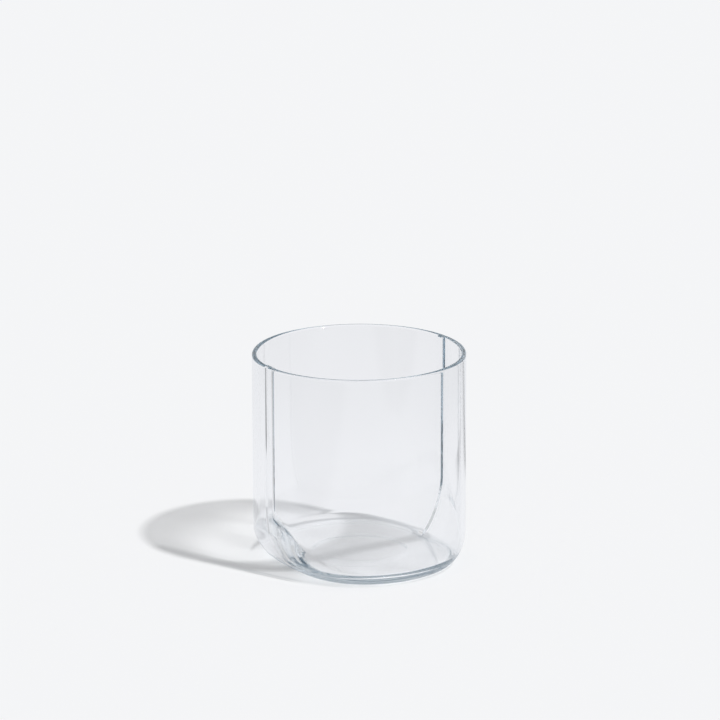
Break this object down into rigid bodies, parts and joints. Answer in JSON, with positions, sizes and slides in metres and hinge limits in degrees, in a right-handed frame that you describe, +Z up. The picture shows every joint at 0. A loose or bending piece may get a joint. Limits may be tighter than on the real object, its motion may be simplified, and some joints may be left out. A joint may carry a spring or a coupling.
{
  "type": "glass tumbler",
  "caption": "Short clear glass tumbler with a straight round wall, an upright rib inside along each of its two seams and a base whose corner is drawn in below them.",
  "frame": {"origin": "centre of the base on the surface that the glass stands on", "axes": "+Z up along the axis of the wall to the rim, -Y towards the viewer of the picture, +X to the right"},
  "size_m": [0.082, 0.082, 0.082],
  "materials": {
    "clear_glass": "fire polished, clear with a faint blue grey tint"
  },
  "bodies": {
    "root": {"tumbler": "clear_glass"}
  },
  "joints": []
}
